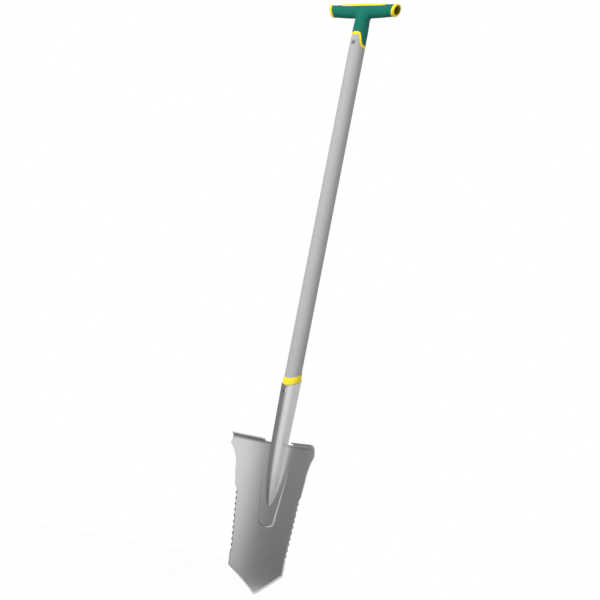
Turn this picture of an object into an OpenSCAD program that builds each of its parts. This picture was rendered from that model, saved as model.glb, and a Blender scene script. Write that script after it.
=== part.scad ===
// Trenching spade: a dished, saw-edged steel blade with a welded socket, a tubular shaft and a two-colour T-handle.
// The origin is the middle of the handle's through bore. +Z runs up the shaft, +X along the T-bar,
// and the hollow front of the blade faces -Y.

/* [Blade] */
// Height of the blade, from the top of the treads to the point
blade_h = 299; // [280:1:340]
// Width across the outer ends of the two treads
tread_span = 200; // [190:1:220]
// Width of the waist under the curved shoulders
waist_w = 168; // [160:1:178]
// Width where the smooth sides end, just above the saw edges
side_foot_w = 159; // [156:0.5:166]
// Width at the top of the saw edges
saw_top_w = 154.5; // [146:0.5:155.5]
// Width at the foot of the saw edges
saw_foot_w = 133.5; // [126:0.5:146]
// Width across the two lower corners
foot_w = 130.5; // [116:0.5:143]
// Height of the straight side under each tread
tread_side_h = 20; // [14:1:26]
// Height of the concave shoulder curve
shoulder_h = 46; // [30:1:54]
// Distance from the treads down to the saw edges, as a share of the blade's height
saw_drop_share = 0.341; // [0.31:0.001:0.36]
// Height of each saw edge, as a share of the blade's height
saw_h_share = 0.413; // [0.36:0.001:0.44]
// Number of notches in each saw edge
saw_count = 11; // [7:1:13]
// Depth of a saw notch
saw_depth = 2.3; // [1.2:0.1:3.2]
// Flat land left between two notches
saw_land = 0.8; // [0.4:0.1:2]
// Height of the pointed end, as a share of the blade's height
point_share = 0.154; // [0.12:0.001:0.2]
// Thickness of the blade's sheet
sheet_t = 2.6; // [2:0.1:3.2]
// Radius of the blade's hollow front face
dish_r = 205; // [170:1:300]
// Backward lean of the blade against the shaft, in degrees
blade_lean = 1.3; // [0.8:0.1:2]
// Distance of the blade's face behind the axis of the shaft, at the treads
blade_set_back = 3; // [1.5:0.1:5]

/* [Treads] */
// Forward reach of the treads from the blade's face
tread_reach = 10; // [9:0.5:16]
// Inside radius of the bend under a tread
tread_bend_r = 4.5; // [3:0.5:7]
// Width of the gap between the two treads
tread_gap_w = 68; // [60:1:80]
// How far each tread draws in at its outer end
tread_draw_in = 2.8; // [1:0.1:5]
// Radius at the foot of the gap
tread_gap_r = 4; // [2:0.5:6]

/* [Socket] */
// Height of the socket above the treads, on its axis
socket_h = 116.4; // [100:0.2:130]
// Thickness of the socket's wall
socket_wall = 1.6; // [1.2:0.1:2.4]
// How much narrower the socket is at the treads than at its rim
socket_narrowing = 4; // [3:0.1:6]
// Slant of the socket's rim, in degrees
rim_slant = 28; // [10:1:32]
// Length of the narrowing nose below the treads
nose_h = 127.5; // [118:0.5:138]
// Step at the treads, where the nose leaves the socket
nose_step = 0.3; // [0.2:0.1:0.6]
// Distance from the treads down to the top of the tongue
tongue_drop = 50; // [44:1:70]
// Height of the tongue
tongue_h = 118; // [100:1:124]
// Width of the tongue at its top
tongue_top_w = 66; // [56:1:76]
// Width of the tongue at its bottom corners
tongue_foot_w = 42; // [34:1:50]
// Height of the round bottom edge of the tongue
tongue_round_h = 11; // [5:0.5:15]
// Thickness of the tongue at its top
tongue_top_t = 0.4; // [0.3:0.1:1]

/* [Collar] */
// Height of the collar's visible ring
collar_h = 13.6; // [8:0.2:20]
// Depth of the collar's skirt inside the socket
skirt_h = 8; // [4:0.5:10]
// Thickness of the skirt at the socket's rim
skirt_t = 0.9; // [0.7:0.1:1.6]
// Thickness of the visible ring
collar_t = 1.3; // [1.1:0.1:2.4]

/* [Shaft] */
// Outside diameter of the shaft
shaft_d = 32; // [28:0.5:38]
// Wall thickness of the shaft
shaft_wall = 2; // [1.5:0.1:2.5]
// Length of the shaft without its front tab
shaft_l = 778.8; // [600:0.2:900]
// Height of the shaft's lower end above the treads
shaft_foot_rise = 15; // [12:1:30]
// Length of the foot plug inside the shaft
plug_l = 25; // [15:1:35]
// Height of the foot plug's flange
plug_flange_h = 4; // [2:0.5:6]

/* [Rivets] */
// Diameter of a rivet's shank
rivet_d = 4.8; // [4:0.1:6]
// Diameter of a rivet's domed head
rivet_head_d = 9.6; // [8:0.1:11]
// Height of the dome on the socket
socket_dome_h = 1.9; // [1.2:0.1:2.5]
// Height of the flatter dome on the shaft
handle_dome_h = 1.2; // [0.8:0.1:2]
// Diameter of a rivet's clinched inner end
clinch_d = 7.2; // [6.4:0.1:8]
// Length of a rivet's clinched inner end
clinch_l = 3; // [2:0.1:4]
// Diameter of the pin left in a rivet
pin_d = 2.6; // [2:0.1:3]
// Height of the lower rivet above the treads
socket_rivet_rise = 95; // [80:0.5:98]
// Height of the upper rivet above the shaft's shoulder
handle_rivet_rise = 8; // [3:0.5:10]

/* [Handle] */
// Length of the T-bar at mid height
bar_l = 156.5; // [130:0.5:180]
// Diameter of the through bore of the T-bar
bore_d = 18; // [14:0.5:18.5]
// Diameter of the core inside the T-bar
bar_core_d = 21.2; // [20.5:0.1:22.5]
// Diameter of the end rings
ring_d = 26; // [25:0.1:28]
// Width of the end rings
ring_w = 6.5; // [5:0.5:14]
// Slant of the end faces, in degrees
end_slant = 15; // [0:1:20]
// Diameter of the cover at the ends of the T-bar
cover_end_d = 24.6; // [24:0.1:27]
// Diameter of the fuller middle of the cover
belly_d = 26; // [25:0.1:29]
// How far the fuller middle hangs below the axis of the T-bar
belly_drop = 2.6; // [1:0.1:4]
// Length of the strip along the top
strip_l = 114; // [80:1:124]
// Width of the strip along the top, which has round ends
strip_w = 19; // [12:0.5:20]
// How far the strip stands proud of the cover
strip_proud = 2.6; // [0.4:0.1:3.4]
// Drop from the axis of the T-bar to the shoulder of the shaft
stem_drop = 78.2; // [68:0.2:90]
// Diameter of the stem where it meets the T-bar
stem_top_d = 29.4; // [28:0.1:31]
// Length of the core's spigot inside the shaft
spigot_l = 70; // [40:1:100]
// Wall thickness of the spigot
spigot_wall = 3.2; // [2.5:0.1:4]
// Thickness of the cover over the stem
cover_t = 2.2; // [2:0.1:3]

/* [Front tab] */
// Half width of the tab that the shaft sends up the front of the stem
tab_half_w = 9.4; // [8:0.1:11]
// Height of the tab
tab_h = 24.3; // [23:0.1:30]
// Corner radius of the tab
tab_corner_r = 4.5; // [3:0.1:7]
// Height of the flared foot of the tab
tab_flare_h = 17; // [12:0.5:18]
// Height of the yellow rim above the tab
rim_top_h = 6.4; // [4:0.1:8]
// Height of the yellow rim on the shoulder
rim_low_h = 6; // [3:0.1:7]
// Thickness of the yellow rim beside the tab
rim_side_t = 1.8; // [1.2:0.1:3]

/* [Fits] */
// Radial clearance between parts that slide into each other
fit_gap = 0.1; // [0.05:0.01:0.2]
// Gap that the welded and moulded seams leave between two parts
seam_gap = 0.05; // [0.02:0.01:0.1]

/* [Hidden] */
$fn = 96;

// One overrun serves every cut that has to pass clear through its part
overrun = 20;
// A half space is a cube of this side, larger than any part that it cuts
reach_all = 3 * (blade_h + tread_span);
// Steps along each curved outline
curve_steps = 10;
// Colours
steel = [0.66, 0.66, 0.67];
grey = [0.74, 0.74, 0.75];
bright = [0.85, 0.85, 0.86];
green = [0.08, 0.46, 0.40];
yellow = [1.00, 0.87, 0.10];
black = [0.15, 0.15, 0.16];

// Heights along the shaft's axis
shoulder_z = -stem_drop;
shaft_foot_z = shoulder_z - shaft_l;
tread_z = shaft_foot_z - shaft_foot_rise;
rim_z = tread_z + socket_h;

// Radii of the shaft, the socket and what lies between them
shaft_r = shaft_d / 2;
shaft_bore_r = shaft_r - shaft_wall;
socket_rim_r = shaft_r + fit_gap + skirt_t + fit_gap + socket_wall;
socket_tread_r = socket_rim_r - socket_narrowing / 2;
socket_slope = (socket_rim_r - socket_tread_r) / socket_h;
function socket_r(rise) = socket_tread_r + socket_slope * rise;
function socket_bore_r(rise) = socket_r(rise) - socket_wall;
// Height above the treads at which the straight shaft starts to taper with the socket's bore
taper_rise = max(shaft_foot_rise, (shaft_r + fit_gap + socket_wall - socket_tread_r) / socket_slope);
shaft_foot_r = min(shaft_r, socket_bore_r(shaft_foot_rise) - fit_gap);
// Highest point of the slanted rim, with the collar on it
rim_top_rise = socket_h + socket_rim_r * tan(rim_slant) + collar_h;

// The nose leans back, so that its end lies in the blade's face
nose_lean = atan((blade_set_back + nose_h * tan(blade_lean)) / nose_h);
nose_top_r = socket_tread_r - nose_step;
// The top of the leaning nose runs up into the socket, so that no wedge is left open at its front
nose_lap = 2 * nose_top_r * tan(nose_lean);

// The blade's outline, right half, from the gap between the treads round to the point
saw_drop = blade_h * saw_drop_share;
saw_h = blade_h * saw_h_share;
point_h = blade_h * point_share;
bend_h = tread_bend_r + sheet_t;
// The gap between the treads ends a little below their bend
gap_drop = bend_h + sheet_t / 4;
gap_half = tread_gap_w / 2;
tread_end_x = tread_span / 2 - tread_draw_in;
shoulder_in = (tread_span - waist_w) / 2;
shoulder_r = (shoulder_in * shoulder_in + shoulder_h * shoulder_h) / (2 * shoulder_in);
shoulder_turn = asin(shoulder_h / shoulder_r);
waist_drop = tread_side_h + shoulder_h;
function arc(centre, radius, from, to) =
    [for (i = [0:curve_steps]) let (a = from + (to - from) * i / curve_steps)
        centre + radius * [cos(a), sin(a)]];
half_outline = concat(
    [[0, -gap_drop]],
    arc([gap_half - tread_gap_r, tread_gap_r - gap_drop], tread_gap_r, -90, 0),
    [[gap_half, overrun]],
    [[tread_end_x, overrun]],
    [[tread_end_x, -gap_drop]],
    arc([waist_w / 2 + shoulder_r, -waist_drop], shoulder_r, 180 - shoulder_turn, 180),
    [[side_foot_w / 2, -saw_drop]],
    [[saw_top_w / 2, -saw_drop]],
    [[saw_foot_w / 2, -saw_drop - saw_h]],
    [[foot_w / 2, point_h - blade_h]],
    [[0, -blade_h]]
);

// A saw notch is a round bite; its radius follows from its width and depth
saw_run = [(saw_foot_w - saw_top_w) / 2, -saw_h];
saw_pitch = norm(saw_run) / saw_count;
saw_bite_w = saw_pitch - saw_land;
saw_bite_r = (saw_bite_w * saw_bite_w / 4 + saw_depth * saw_depth) / (2 * saw_depth);
saw_out = [-saw_run[1], saw_run[0]] / norm(saw_run);

// Depth of the blade from the front of its treads to its back, and the angle that its width takes
blade_depth = dish_r - sqrt(dish_r * dish_r - tread_span * tread_span / 4) + tread_reach + sheet_t;
sheet_angle = 2 * asin((tread_span / 2 + sheet_t) / dish_r);

// The tongue lies upright while the blade leans back, so it thickens towards its foot
tongue_face_y = blade_set_back + tongue_drop * tan(blade_lean) - tongue_top_t;
tongue_foot_drop = tongue_drop + tongue_h;
tongue_round_r = (tongue_foot_w * tongue_foot_w / 4 + tongue_round_h * tongue_round_h) / (2 * tongue_round_h);
tongue_round_turn = asin(tongue_foot_w / 2 / tongue_round_r);

// Handle: the core of the stem fills the cover and runs on into the shaft as its spigot
spigot_r = shaft_bore_r - fit_gap;
spigot_bore_r = spigot_r - spigot_wall;
stem_core_r = min(spigot_r, shaft_r - cover_t);
stem_bore_top_z = -(bar_core_d / 2 + spigot_wall);
ring_inner_x = bar_l / 2 - ring_w;
belly_steps = 12;
// Shares of the stem's height, from the shoulder up to the bar's axis, and of its narrowing there
stem_height_shares = [0, 0.45, 0.8, 1];
stem_narrow_shares = [0, 0.25, 1, 2.2];
stem_narrowing = shaft_r - stem_top_d / 2;
stem_cap_r = bore_d / 2;
stem_cap_z = bar_core_d / 4;
// The flared foot of the tab: shares of the way out to the shaft's side, and of the flare's height
tab_flare_shares = [[0, 1], [0.2, 0.75], [0.35, 0.49], [0.52, 0.28], [0.69, 0.1], [0.85, 0.02], [1, 0]];

// Half spaces and shared envelopes

// Everything above the slanted plane of the socket's rim, raised by lift
module above_rim(lift) {
    translate([0, 0, rim_z + lift])
        rotate([rim_slant, 0, 0])
            translate([-reach_all / 2, -reach_all / 2, 0])
                cube(reach_all);
}

// The upright cone of the socket above the treads, with its radius changed by off
module socket_cone(off) {
    translate([0, 0, tread_z])
        cylinder(r1 = socket_tread_r + off, r2 = socket_r(rim_top_rise) + off, h = rim_top_rise);
}

// The leaning nose below the treads, with its radius changed by off: its side is a parabola
module socket_nose(off) {
    first_share = max(0, -off / nose_top_r);
    full_h = nose_h + max(0, off);
    translate([0, 0, tread_z])
        rotate([nose_lean, 0, 0])
            rotate_extrude()
                polygon(concat(
                    [[0, nose_lap]],
                    [[0, -full_h * (1 - first_share * first_share)]],
                    [for (i = [0:curve_steps]) let (share = first_share + (1 - first_share) * i / curve_steps)
                        [nose_top_r * share + off, -full_h * (1 - share * share)]],
                    [[nose_top_r + off, nose_lap]]
                ));
}

// Outside of the socket and its nose, grown by grow
module socket_outside(grow) {
    socket_cone(grow);
    socket_nose(grow);
}

// Puts a shape that was drawn in the blade's own frame, treads at zero, where the blade leans
module in_blade_frame() {
    translate([0, blade_set_back, tread_z])
        rotate([blade_lean, 0, 0])
            children();
}

// Everything in front of the blade's hollow face, moved forward by gap
module front_of_blade(gap) {
    in_blade_frame()
        translate([0, -dish_r, -blade_h - overrun])
            cylinder(r = dish_r - gap, h = blade_h + 2 * overrun, $fn = 360);
}

// A hole or shank of diameter d through the front wall at height z
module front_drill(z, d) {
    translate([0, 0, z])
        rotate([90, 0, 0])
            cylinder(d = d, h = socket_rim_r + overrun);
}

// The blade

// The flat outline, with its saw notches
module blade_outline() {
    difference() {
        polygon(concat(
            half_outline,
            [for (i = [len(half_outline) - 2:-1:1]) [-half_outline[i][0], half_outline[i][1]]]
        ));
        for (side = [0, 1])
            mirror([side, 0])
                for (i = [0:saw_count - 1])
                    translate([saw_top_w / 2, -saw_drop] + saw_run * (i + 0.5) / saw_count
                              + saw_out * (saw_bite_r - saw_depth))
                        circle(saw_bite_r);
    }
}

// A section swept round the axis of the blade's hollow face, over an angle that is centred on the back
module round_the_dish(angle) {
    translate([0, -dish_r, 0])
        rotate([0, 0, 90 - angle / 2])
            rotate_extrude(angle = angle, $fn = 360)
                children();
}

// The section of the upright sheet
module sheet_section() {
    translate([dish_r, -blade_h - overrun])
        square([sheet_t, blade_h + overrun - bend_h]);
}

// The section of a tread, which bends forward from the top of the sheet
module tread_section() {
    translate([dish_r - tread_bend_r, -bend_h])
        intersection() {
            difference() {
                circle(bend_h);
                circle(tread_bend_r);
            }
            square(bend_h);
        }
    translate([dish_r - tread_reach, -sheet_t])
        square([tread_reach - tread_bend_r, sheet_t]);
}

module blade() {
    color(steel)
        difference() {
            in_blade_frame()
                intersection() {
                    round_the_dish(sheet_angle) {
                        sheet_section();
                        tread_section();
                    }
                    rotate([90, 0, 0])
                        linear_extrude(height = 2 * blade_depth, center = true)
                            blade_outline();
                }
            socket_outside(seam_gap);
        }
}

// The socket

// The tongue lies on the blade's face between its own upright face and the leaning blade
module tongue() {
    difference() {
        intersection() {
            translate([0, tongue_face_y, tread_z])
                rotate([90, 0, 0])
                    linear_extrude(height = 2 * blade_depth, center = true)
                        polygon(concat(
                            [[-tongue_top_w / 2, -tongue_drop]],
                            arc([0, tongue_round_r - tongue_foot_drop], tongue_round_r,
                                -90 - tongue_round_turn, -90 + tongue_round_turn),
                            [[tongue_top_w / 2, -tongue_drop]]
                        ));
            front_of_blade(seam_gap);
        }
        translate([0, tongue_face_y - dish_r, tread_z - tongue_foot_drop - overrun])
            cylinder(r = dish_r, h = tongue_h + 2 * overrun, $fn = 360);
    }
}

module socket() {
    color(steel)
        difference() {
            union() {
                socket_outside(0);
                tongue();
            }
            socket_cone(-socket_wall);
            socket_nose(-socket_wall);
            above_rim(0);
            front_drill(tread_z + socket_rivet_rise, rivet_d + 2 * seam_gap);
        }
}

// The collar: a slanted ring on the socket's rim, and a skirt between the socket and the shaft
module collar() {
    color(yellow)
        difference() {
            union() {
                intersection() {
                    translate([0, 0, tread_z])
                        cylinder(r = shaft_r + fit_gap + collar_t, h = rim_top_rise + overrun);
                    above_rim(seam_gap);
                }
                intersection() {
                    socket_cone(-socket_wall - fit_gap);
                    above_rim(-skirt_h);
                }
            }
            above_rim(collar_h);
            translate([0, 0, tread_z])
                cylinder(r = shaft_r + fit_gap, h = rim_top_rise + 2 * overrun);
        }
}

// The shaft

// The front tab's outline, grown sideways and upwards, standing on height zero
module tab_outline(side, up) {
    half_w = tab_half_w + side;
    top = tab_h + up;
    corner = tab_corner_r + side;
    translate([-half_w, -overrun])
        square([2 * half_w, top + overrun - corner]);
    translate([corner - half_w, -overrun])
        square([2 * (half_w - corner), top + overrun]);
    for (turn = [-1, 1])
        translate([turn * (half_w - corner), top - corner])
            circle(corner);
    for (turn = [0, 1])
        mirror([turn, 0])
            polygon(concat(
                [for (share = tab_flare_shares)
                    [half_w + (shaft_r - tab_half_w) * share[0], tab_flare_h * share[1]]],
                [[half_w + shaft_r - tab_half_w, -overrun]],
                [[half_w, -overrun]]
            ));
}

// Everything below the shoulder line, which rises round the front tab
module below_shoulder(low, side, up) {
    translate([0, 0, shoulder_z + low]) {
        translate([-reach_all / 2, -reach_all / 2, -reach_all])
            cube(reach_all);
        rotate([90, 0, 0])
            linear_extrude(height = shaft_r + overrun)
                tab_outline(side, up - low);
    }
}

// Outside of the shaft's tube, or its bore when shrunk by the wall
module shaft_round(shrink) {
    rotate_extrude()
        polygon([
            [0, shaft_foot_z],
            [shaft_foot_r - shrink, shaft_foot_z],
            [shaft_r - shrink, tread_z + taper_rise],
            [shaft_r - shrink, shoulder_z + tab_h + overrun],
            [0, shoulder_z + tab_h + overrun],
        ]);
}

module shaft_tube() {
    color(grey)
        difference() {
            intersection() {
                shaft_round(0);
                below_shoulder(0, 0, 0);
            }
            shaft_round(shaft_wall);
            translate([0, 0, shaft_foot_z - overrun])
                cylinder(r = shaft_foot_r - shaft_wall, h = 2 * overrun);
            front_drill(tread_z + socket_rivet_rise, rivet_d + 2 * seam_gap);
            front_drill(shoulder_z + handle_rivet_rise, rivet_d + 2 * seam_gap);
        }
}

// The plug closes the foot of the shaft, and its flange wedges in the taper of the socket
module shaft_foot_plug() {
    color(black) {
        intersection() {
            socket_cone(-socket_wall - fit_gap);
            translate([0, 0, shaft_foot_z - plug_flange_h])
                cylinder(r = shaft_r, h = plug_flange_h);
        }
        translate([0, 0, shaft_foot_z - plug_flange_h])
            cylinder(r = shaft_foot_r - shaft_wall - fit_gap, h = plug_flange_h + plug_l);
    }
}

// The rivets

// Along a rivet, out is the wall's outside radius, in is its inside radius and dome is the height of the head
function dome_r(dome) = (rivet_head_d * rivet_head_d / 4 + dome * dome) / (2 * dome);
function clinch_y(in) = sqrt(in * in - clinch_d * clinch_d / 4) - seam_gap;

module rivet_dome(out, dome) {
    intersection() {
        translate([0, dome_r(dome) - out - dome, 0])
            sphere(r = dome_r(dome));
        rotate([90, 0, 0])
            cylinder(d = rivet_head_d, h = out + overrun);
    }
}

module rivet_body(out, in, dome) {
    difference() {
        union() {
            difference() {
                rivet_dome(out, dome);
                children();
            }
            translate([0, -clinch_y(in) + clinch_l, 0])
                rotate([90, 0, 0])
                    cylinder(d = rivet_d, h = out - clinch_y(in) + clinch_l);
            translate([0, -clinch_y(in) + clinch_l, 0])
                rotate([90, 0, 0])
                    cylinder(d = clinch_d, h = clinch_l);
        }
        rotate([90, 0, 0])
            cylinder(d = pin_d + 2 * seam_gap, h = out + overrun);
    }
}

module rivet_pin(out, in) {
    translate([0, -clinch_y(in) + 2 * clinch_l, 0])
        rotate([90, 0, 0])
            cylinder(d = pin_d, h = out - clinch_y(in) + 2 * clinch_l);
    translate([0, -clinch_y(in) + clinch_l + seam_gap, 0])
        rotate([-90, 0, 0])
            cylinder(d = rivet_d, h = clinch_l);
}

module socket_rivet() {
    rise = socket_rivet_rise;
    color(bright)
        translate([0, 0, tread_z + rise])
            rivet_body(socket_r(rise), shaft_bore_r, socket_dome_h)
                translate([0, 0, -tread_z - rise])
                    socket_outside(seam_gap);
}

module socket_rivet_pin() {
    rise = socket_rivet_rise;
    color(black)
        translate([0, 0, tread_z + rise])
            rivet_pin(socket_r(rise), shaft_bore_r);
}

module handle_rivet() {
    z = shoulder_z + handle_rivet_rise;
    color(bright)
        translate([0, 0, z])
            rivet_body(shaft_r, spigot_bore_r, handle_dome_h)
                translate([0, 0, -rivet_head_d])
                    cylinder(r = shaft_r + seam_gap, h = 2 * rivet_head_d);
}

module handle_rivet_pin() {
    z = shoulder_z + handle_rivet_rise;
    color(black)
        translate([0, 0, z])
            rivet_pin(shaft_r, spigot_bore_r);
}

// The handle

// A cylinder of diameter d along the T-bar, over the length l, with slanted ends if slant is above zero
module along_bar(d, l, slant) {
    intersection() {
        rotate([0, 90, 0])
            cylinder(d = d, h = l + 2 * d, center = true);
        for_ends(l, slant, d);
    }
}

// The block between two end planes a length l apart, which lean outwards at the top by slant
module for_ends(l, slant, d) {
    lean = d * tan(slant);
    rotate([90, 0, 0])
        linear_extrude(height = 4 * d, center = true)
            polygon([
                [-l / 2 + lean, -d],
                [l / 2 - lean, -d],
                [l / 2 + lean, d],
                [-l / 2 - lean, d],
            ]);
}

// Outside of the stem: it stands on the shoulder and narrows into the T-bar
module stem_outside() {
    rotate_extrude()
        polygon(concat(
            [[0, shoulder_z]],
            [for (i = [0:len(stem_height_shares) - 1])
                [shaft_r - stem_narrowing * stem_narrow_shares[i], shoulder_z * (1 - stem_height_shares[i])]],
            [[stem_cap_r, stem_cap_z]],
            [[0, stem_cap_z]]
        ));
}

// The strip that wraps the top of the bar, with round ends
module strip() {
    intersection() {
        rotate([0, 90, 0])
            cylinder(d = cover_end_d + 2 * strip_proud, h = strip_l + overrun, center = true);
        linear_extrude(height = cover_end_d) {
            square([strip_l - strip_w, strip_w], center = true);
            for (side = [-1, 1])
                translate([side * (strip_l - strip_w) / 2, 0])
                    circle(d = strip_w);
        }
    }
}

// Everything of the core that the cover is moulded round, without its bores
module core_solid() {
    along_bar(bar_core_d, bar_l - ring_w, end_slant);
    difference() {
        along_bar(ring_d, bar_l, end_slant);
        for_ends(bar_l - 2 * ring_w, end_slant, ring_d);
    }
    strip();
    translate([0, 0, shoulder_z - spigot_l])
        cylinder(r = stem_core_r, h = spigot_l + stem_drop);
    difference() {
        intersection() {
            stem_outside();
            below_shoulder(rim_low_h, rim_side_t, rim_top_h);
        }
        below_shoulder(seam_gap, seam_gap, seam_gap);
    }
}

module grip_core() {
    color(yellow)
        difference() {
            core_solid();
            rotate([0, 90, 0])
                cylinder(d = bore_d, h = bar_l + 2 * overrun, center = true);
            translate([0, 0, shoulder_z - spigot_l - overrun])
                cylinder(r = spigot_bore_r, h = spigot_l + overrun + stem_drop + stem_bore_top_z);
            front_drill(shoulder_z + handle_rivet_rise, rivet_d + 2 * seam_gap);
        }
}

// Outside of the cover's bar: straight on top, fuller below
module cover_bar() {
    along_bar(cover_end_d, bar_l - 2 * ring_w - 2 * seam_gap, end_slant);
    belly_end_r = (cover_end_d + bar_core_d) / 4 - belly_drop;
    belly_half = ring_inner_x - cover_end_d * tan(end_slant) / 2;
    translate([0, 0, -belly_drop])
        rotate([0, 90, 0])
            rotate_extrude()
                polygon(concat(
                    [[0, -belly_half]],
                    [for (i = [-belly_steps:belly_steps]) let (share = i / belly_steps)
                        [belly_end_r + (belly_d / 2 - belly_end_r) * (1 - share * share), belly_half * share]],
                    [[0, belly_half]]
                ));
}

module grip_cover() {
    color(green)
        difference() {
            union() {
                cover_bar();
                stem_outside();
            }
            core_solid();
            below_shoulder(rim_low_h + seam_gap, rim_side_t + seam_gap, rim_top_h + seam_gap);
            rotate([0, 90, 0])
                cylinder(d = bar_core_d, h = bar_l + 2 * overrun, center = true);
        }
}

blade();
socket();
collar();
shaft_tube();
shaft_foot_plug();
socket_rivet();
socket_rivet_pin();
grip_core();
grip_cover();
handle_rivet();
handle_rivet_pin();
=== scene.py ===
# %% [markdown]
# # A trenching spade
# The tool is a dished steel blade on a riveted tubular shaft, with a two-colour T-handle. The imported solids
# give every size, so each piece below is a finer mesh that is laid where its solid is. The tool's lengths
# are written in millimetres, as on a drawing, and each mesh is scaled to metres once, at the very end of
# its making.

# %% Load the frame
import math

import bmesh
import bpy
from mathutils import Matrix, Vector


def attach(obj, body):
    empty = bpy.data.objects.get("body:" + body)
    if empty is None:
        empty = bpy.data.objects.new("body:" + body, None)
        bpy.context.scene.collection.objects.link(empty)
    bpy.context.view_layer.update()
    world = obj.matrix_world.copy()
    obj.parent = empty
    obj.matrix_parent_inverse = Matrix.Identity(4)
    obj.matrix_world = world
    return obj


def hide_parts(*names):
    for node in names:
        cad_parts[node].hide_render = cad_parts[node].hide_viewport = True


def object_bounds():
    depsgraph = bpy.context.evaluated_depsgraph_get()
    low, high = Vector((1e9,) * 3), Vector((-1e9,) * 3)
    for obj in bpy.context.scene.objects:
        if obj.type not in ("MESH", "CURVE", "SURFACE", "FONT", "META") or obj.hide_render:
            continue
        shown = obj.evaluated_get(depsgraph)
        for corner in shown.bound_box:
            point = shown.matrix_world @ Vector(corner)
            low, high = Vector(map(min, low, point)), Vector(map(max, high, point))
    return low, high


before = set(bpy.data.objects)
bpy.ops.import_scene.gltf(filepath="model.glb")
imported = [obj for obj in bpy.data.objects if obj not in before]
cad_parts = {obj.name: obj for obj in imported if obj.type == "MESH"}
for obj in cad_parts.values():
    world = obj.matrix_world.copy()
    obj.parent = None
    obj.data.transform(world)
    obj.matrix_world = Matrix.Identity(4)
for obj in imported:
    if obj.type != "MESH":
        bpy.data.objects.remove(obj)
cad_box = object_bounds()
scene = bpy.context.scene
scene.view_settings.view_transform = "Standard"
MM = 0.001
print("CAD box", [tuple(round(c / MM, 1) for c in corner) for corner in cad_box])

# %% [markdown]
# ## The camera
# The photograph looks at the spade's front from its right, a little upwards, with the camera rolled so that
# the tool leans. A constraint could aim a camera at the tool, but a roll is easier to state when the camera
# is placed by its own three axes: the direction back from the subject comes from an azimuth and an
# elevation, and the roll then turns the two others about it. A long lens keeps the shaft's sides nearly
# parallel.

# %% Camera
CAMERA_PLACE = Vector((1818.6, -2541.9, -962.5)) * MM
CAMERA_AZIMUTH, CAMERA_ELEVATION, CAMERA_ROLL = 35.855, -6.693, 11.115
LENS, SENSOR_W = 96.54, 36.0


def camera_axes(azimuth, elevation, roll):
    """The camera's right, up and back directions for three angles in degrees."""
    a, e, r = (math.radians(angle) for angle in (azimuth, elevation, roll))
    back = Vector((math.sin(a) * math.cos(e), -math.cos(a) * math.cos(e), math.sin(e)))
    level = Vector((math.cos(a), math.sin(a), 0.0))
    above = back.cross(level)
    right = level * math.cos(r) + above * math.sin(r)
    return right, back.cross(right), back


camera_data = bpy.data.cameras.new("camera")
camera_data.lens, camera_data.sensor_width = LENS, SENSOR_W
camera_data.clip_start, camera_data.clip_end = 0.1, 100.0
camera = bpy.data.objects.new("camera", camera_data)
scene.collection.objects.link(camera)
turn = Matrix(camera_axes(CAMERA_AZIMUTH, CAMERA_ELEVATION, CAMERA_ROLL)).transposed()
camera.matrix_world = Matrix.Translation(CAMERA_PLACE) @ turn.to_4x4()
scene.camera = camera
print("camera at", tuple(round(c, 3) for c in camera.matrix_world.translation))

# %% [markdown]
# ## A shared node group
# All finishes need the same two effects: a fine grain, as blasting or moulding leaves it, and broad soft
# blotches, as handling leaves them. Each material could hold its own noise nodes, but then every change
# would have to be made in all of them. One shader node group with named sockets serves them all, and each
# material places it with its own scales. The group only puts out values, and the shader itself stays in the
# material.

# %% Node helpers


def add_node(tree, kind, **settings):
    """A new node in the tree, with its attributes and its unlinked input values set."""
    node = tree.nodes.new(kind)
    for key, value in settings.items():
        if hasattr(node, key):
            setattr(node, key, value)
        else:
            node.inputs[key.replace("_", " ")].default_value = value
    return node


def new_group(name, inputs, outputs):
    """An empty shader group with float inputs and outputs, and its two end nodes."""
    group = bpy.data.node_groups.new(name, "ShaderNodeTree")
    for socket, value in inputs.items():
        made = group.interface.new_socket(socket, in_out="INPUT", socket_type="NodeSocketFloat")
        made.default_value = value
    for socket in outputs:
        group.interface.new_socket(socket, in_out="OUTPUT", socket_type="NodeSocketFloat")
    return group, group.nodes.new("NodeGroupInput"), group.nodes.new("NodeGroupOutput")


# %% Grain group


def make_grain():
    """Noise at two scales: Speckle is the fine grain, Blotch the broad soft change."""
    group, ends_in, ends_out = new_group(
        "fine_grain", {"Grain Scale": 900.0, "Blotch Scale": 12.0}, ["Speckle", "Blotch"])
    place = add_node(group, "ShaderNodeTexCoord")
    fine = add_node(group, "ShaderNodeTexNoise", Detail=3.0, Roughness=0.6)
    broad = add_node(group, "ShaderNodeTexNoise", Detail=4.0, Roughness=0.55)
    link = group.links.new
    for noise, scale, result in ((fine, "Grain Scale", "Speckle"), (broad, "Blotch Scale", "Blotch")):
        link(place.outputs["Object"], noise.inputs["Vector"])
        link(ends_in.outputs[scale], noise.inputs["Scale"])
        link(noise.outputs["Fac"], ends_out.inputs[result])
    return group


fine_grain = make_grain()
print("node group", fine_grain.name, "with", len(fine_grain.nodes), "nodes")

# %% [markdown]
# ## Finishes
# A finish is two colours that the grain mixes, a roughness that the same grain moves, and a small bump. The
# blade and the socket are fine-blasted steel, which is fully metallic, so their brightness comes from what
# they mirror. The walls of the saw's bites stay as the punch tears them, darker and rougher. The shaft's
# satin grey, the hard yellow plastic and the soft green cover are not metallic, so their colours are
# written about as bright as they look. The yellow inside the T-bar's bore is painted dark, as the shade that
# falls in it, and rougher, with a finish of its own.

# %% Finish maker
BUMP_DEPTH = 0.0004


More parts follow.
